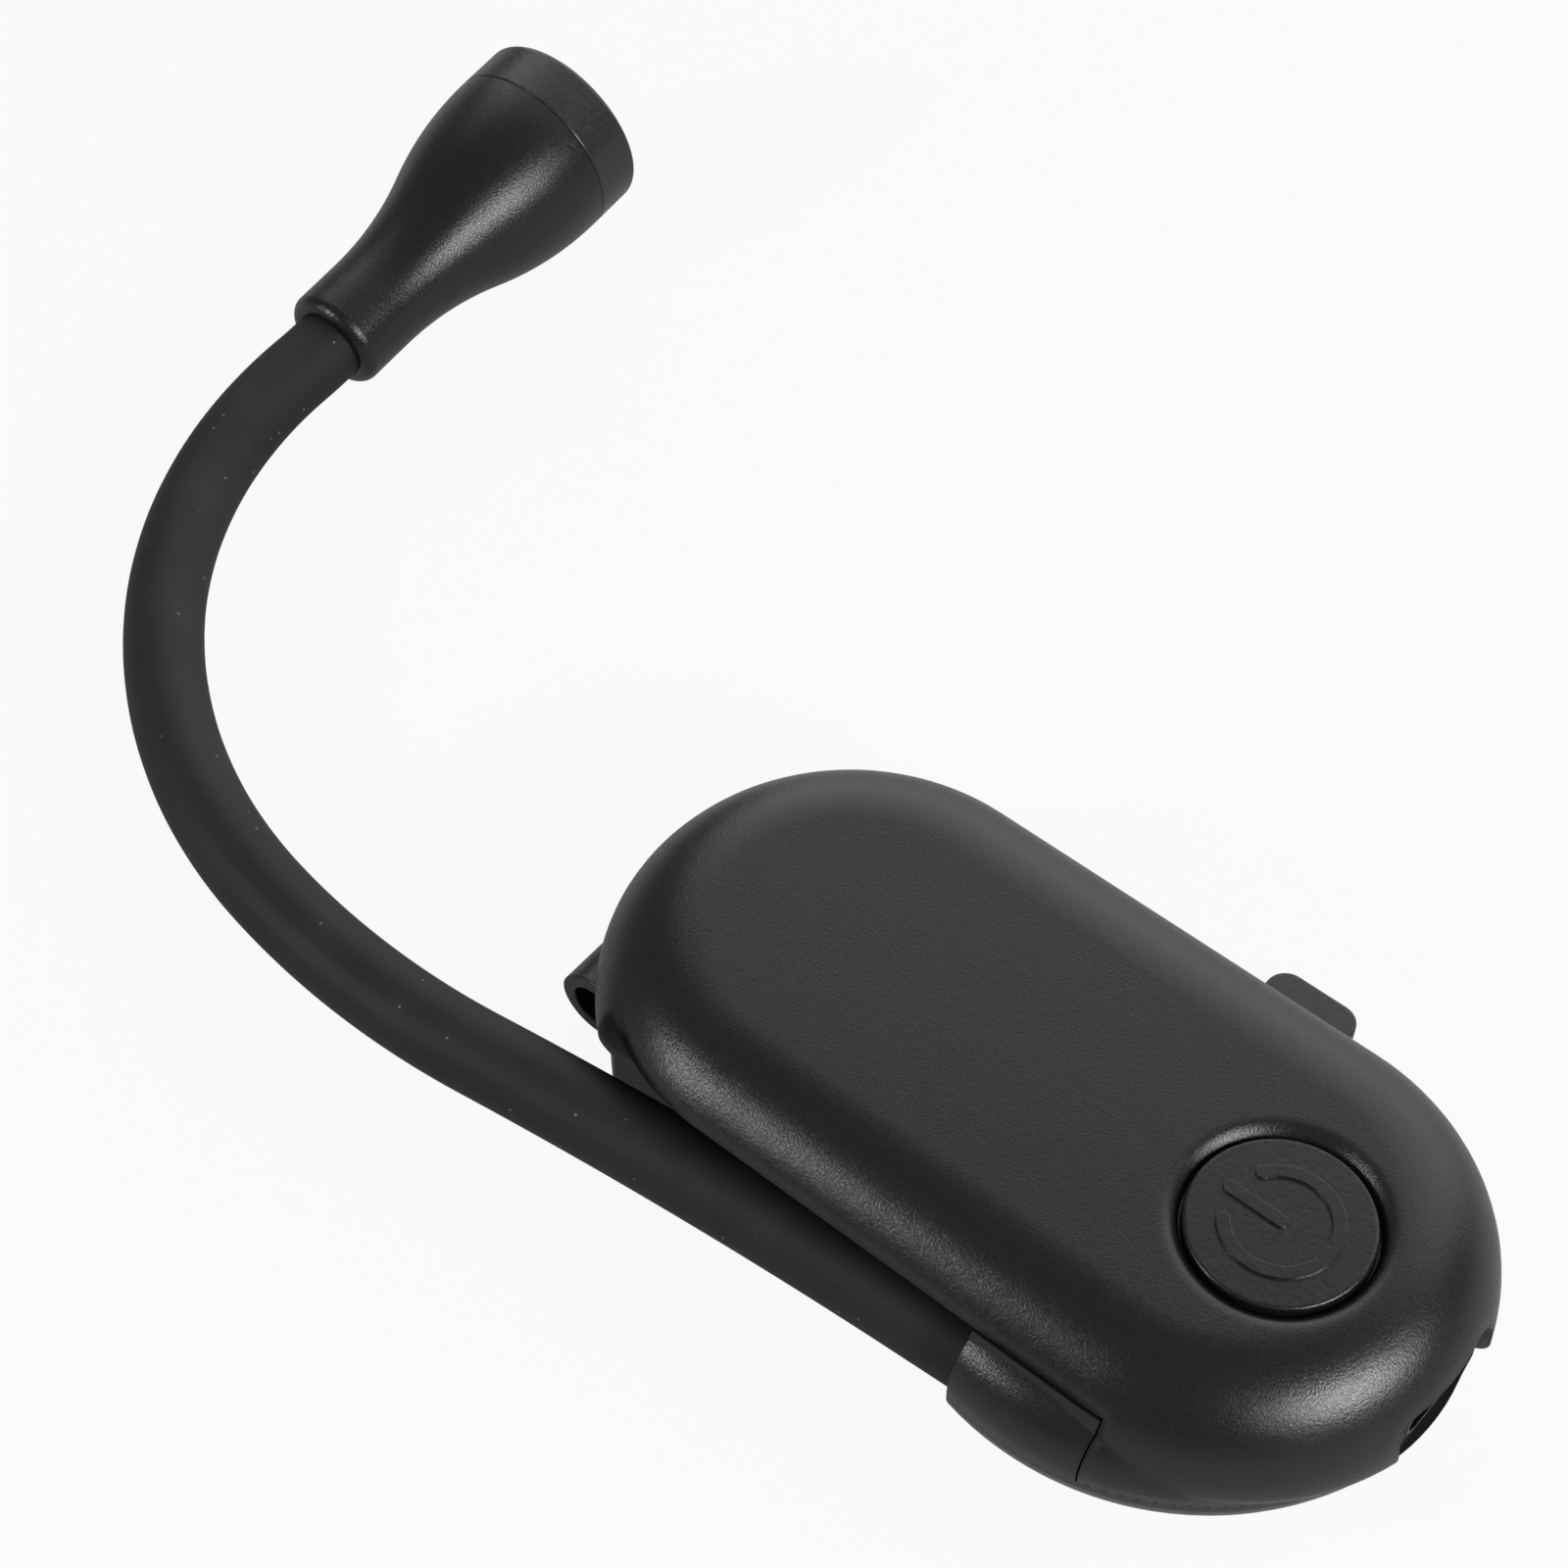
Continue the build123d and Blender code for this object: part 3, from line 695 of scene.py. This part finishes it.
class LampBody:
    """The pill-shaped body with its electronics, button and the neck's socket."""

    def dress(self, finishes: Finishes) -> None:
        """Gives the body's nodes their finishes.

        Args:
            finishes: The lamp's finishes.
        """
        dress(finishes.grained, "lower_housing", "neck_socket")
        dress(finishes.blended, "upper_housing")
        dress(finishes.smooth, "power_button")
        dress(finishes.switch, "tact_switch", "switch_plunger")
        dress(finishes.board, "main_board")
        dress(finishes.black_nickel, "usb_port")
        dress(finishes.nickel, "housing_screws")
        dress(finishes.foil, "battery_cell")
        dress(finishes.pad, "grip_pad")


@dataclass
class TorsionSpring:
    """The jaw's spring: a leg on the jaw, turns round the pin that wind up as it opens, a leg on the body.

    Lengths are in millimetres.
    """

    pin: tuple[float, float, float] = (-37.1, 0.0, 1.65)
    wire: float = 0.25
    wire_sides: int = 12
    coil: float = 1.42
    turns: float = 5.5
    pitch: float = 1.1
    leg: float = 2.6
    steps: int = 16
    leg_room: float = 0.5

    def build(self, finishes: Finishes) -> None:
        """Models the spring: a wire's ring drawn along a leg, round the pin and along the other leg.

        Args:
            finishes: The lamp's finishes.
        """
        name = "jaw_spring"
        middle = Vector(self.pin) * MM
        reach = self.pitch * self.turns / 2
        start = middle + Vector((self.leg, -reach, -self.coil)) * MM
        open_ring(name, self.wire_sides, self.wire * MM, start, Euler((0, math.pi / 2, 0)))
        extrude(Vector((-self.leg * MM, 0, 0)))
        for _ in range(round(self.turns * self.steps)):
            extrude(Vector((0, self.pitch * MM / self.steps, 0)))
            bpy.ops.transform.rotate(
                value=math.tau / self.steps, orient_axis="Y", orient_type="GLOBAL", center_override=middle
            )
        extrude(Vector((self.leg * MM, 0, 0)))
        bpy.ops.mesh.select_all(action="SELECT")
        bpy.ops.mesh.fill_holes(sides=0)
        bpy.ops.mesh.normals_make_consistent(inside=False)
        bpy.ops.object.mode_set(mode="OBJECT")
        piece = settle(name, finishes.steel)
        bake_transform(piece)
        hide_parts("clip_spring")


@dataclass
class ClipJaw:
    """The sprung jaw with its pad, pin and spring."""

    pad: GripPad = field(default_factory=lambda: GripPad("jaw_pad", "jaw", ribs=7, rise_mm=0.2))
    spring: TorsionSpring = field(default_factory=TorsionSpring)

    def build(self, finishes: Finishes) -> None:
        """Models the jaw's ribbed pad and its spring.

        Args:
            finishes: The lamp's finishes.
        """
        self.pad.build(finishes)
        self.spring.build(finishes)

    def dress(self, finishes: Finishes) -> None:
        """Gives the jaw's nodes their finishes.

        Args:
            finishes: The lamp's finishes.
        """
        dress(finishes.bare, "clip_jaw")
        dress(finishes.steel, "clip_pin", "clip_spring")
        dress(finishes.pad, "jaw_pad")


class LampHead:
    """The flared head with its optics."""

    def dress(self, finishes: Finishes) -> None:
        """Gives the head's nodes their finishes.

        Args:
            finishes: The lamp's finishes.
        """
        dress(finishes.grained, "lamp_shell")
        dress(finishes.bare, "lamp_bezel")
        dress(finishes.mirror, "reflector")
        dress(finishes.lens, "lamp_lens")
        dress(finishes.white_board, "led_board")
        dress(finishes.phosphor, "led_chip")


@dataclass(frozen=True)
class SoftBox:
    """One soft box: its place and size in metres, its power in watts."""

    name: str
    place: tuple[float, float, float]
    size: tuple[float, float]
    watts: float

    def hang(self, target: tuple[float, float, float]) -> None:
        """Hangs the box.

        Args:
            target: The point it faces, in metres.
        """
        data = bpy.data.lights.new(self.name, "AREA")
        data.shape = "RECTANGLE"
        data.size, data.size_y = self.size
        data.energy = self.watts
        light = bpy.data.objects.new(self.name, data)
        light.location = self.place
        aim = Vector(target) - Vector(self.place)
        light.rotation_euler = aim.to_track_quat("-Z", "Y").to_euler()
        bpy.context.scene.collection.objects.link(light)


@dataclass
class Studio:
    """Plain white ground, soft boxes and the camera, in metres and degrees unless the name says otherwise."""

    floor_mm: float = -1.75
    floor_size: float = 6.0
    floor_colour: str = "#b8b8b8"
    floor_roughness: float = 0.9
    white_seen: float = 0.93
    white_mirrored: float = 0.15
    world_level: float = 0.09
    lamp_middle: tuple[float, float, float] = (-0.038, 0.014, 0.005)
    boxes: tuple[SoftBox, ...] = (
        SoftBox("left_box", (-0.30, -0.40, 0.27), (0.08, 0.08), 0.85),
        SoftBox("right_box", (0.43, -0.03, 0.30), (0.3, 0.12), 2.35),
        SoftBox("back_box", (-0.20, 0.60, 0.34), (1.25, 0.85), 3.8),
    )
    camera_place: tuple[float, float, float] = (0.07922, -0.12646, 0.24466)
    camera_turn: tuple[float, float, float] = (37.47, 0.0, 39.76)
    lens_mm: float = 80.14
    sensor_mm: float = 36.0
    nearest: float = 0.01

    def white_share(self, tree: bpy.types.NodeTree) -> bpy.types.NodeSocket:
        """How much of the plain white a ray sees: nearly all from the camera and through the lens.

        The flanks mirror the floor close by, which lies in the lamp's own shadow, so little shows there.

        Args:
            tree: The node tree of the floor or the world.

        Returns:
            The socket with the share.
        """
        path = add_node(tree, "ShaderNodeLightPath").outputs
        mirrored = add_node(
            tree,
            "ShaderNodeMath",
            {0: path["Is Glossy Ray"]},
            {1: self.white_mirrored},
            operation="MULTIPLY",
        )
        straight = {0: path["Is Camera Ray"], 1: path["Is Transmission Ray"]}
        seen = add_node(tree, "ShaderNodeMath", straight, operation="MAXIMUM")
        share = add_node(
            tree,
            "ShaderNodeMath",
            {0: seen.outputs[0], 2: mirrored.outputs[0]},
            {1: self.white_seen},
            operation="MULTIPLY_ADD",
            use_clamp=True,
        )
        return share.outputs[0]

    def floor(self) -> None:
        """Lays the white floor, which shows white to the camera and keeps a soft shadow."""
        begin("floor")
        bpy.ops.mesh.primitive_plane_add(size=self.floor_size, location=(0, 0, self.floor_mm * MM))
        plane = bpy.context.object
        plane.name = "floor"
        material = bpy.data.materials.new("white_card")
        material.use_nodes = True
        tree = material.node_tree
        shader = tree.nodes["Principled BSDF"]
        shader.inputs["Base Color"].default_value = srgb(self.floor_colour)
        shader.inputs["Roughness"].default_value = self.floor_roughness
        white = add_node(tree, "ShaderNodeEmission", values={"Color": WHITE, "Strength": 1.0})
        sides = {0: self.white_share(tree), 1: shader.outputs[0], 2: white.outputs[0]}
        mix = add_node(tree, "ShaderNodeMixShader", sides)
        tree.links.new(mix.outputs[0], tree.nodes["Material Output"].inputs["Surface"])
        plane.data.materials.append(material)

    def light(self) -> None:
        """Sets the world's even light and hangs the soft boxes."""
        world = bpy.data.worlds.new("studio")
        bpy.context.scene.world = world
        world.use_nodes = True
        tree = world.node_tree
        back = tree.nodes["Background"]
        back.inputs["Color"].default_value = WHITE
        strength = add_node(
            tree,
            "ShaderNodeMath",
            {0: self.white_share(tree)},
            {1: 1.0 - self.world_level, 2: self.world_level},
            operation="MULTIPLY_ADD",
        )
        tree.links.new(strength.outputs[0], back.inputs["Strength"])
        for box in self.boxes:
            box.hang(self.lamp_middle)

    def camera(self) -> None:
        """Places the camera at the photograph's angle."""
        data = bpy.data.cameras.new("camera")
        data.lens = self.lens_mm
        data.sensor_width = self.sensor_mm
        data.sensor_fit = "HORIZONTAL"
        data.clip_start = self.nearest
        camera = bpy.data.objects.new("camera", data)
        camera.location = self.camera_place
        camera.rotation_euler = [math.radians(angle) for angle in self.camera_turn]
        bpy.context.scene.collection.objects.link(camera)
        bpy.context.scene.camera = camera

    def build(self) -> None:
        """Sets up floor, light and camera."""
        bpy.context.scene.view_settings.view_transform = "Standard"
        self.floor()
        self.light()
        self.camera()


def main() -> None:
    """Builds and dresses the lamp, then the studio."""
    logging.basicConfig(level=logging.INFO)
    finishes = Finishes()
    body, jaw, neck, head = LampBody(), ClipJaw(), Neck(), LampHead()
    for part in (body, jaw, neck, head):
        part.dress(finishes)
    jaw.build(finishes)
    neck.build(finishes)
    Studio().build()


if __name__ == "__main__":
    main()
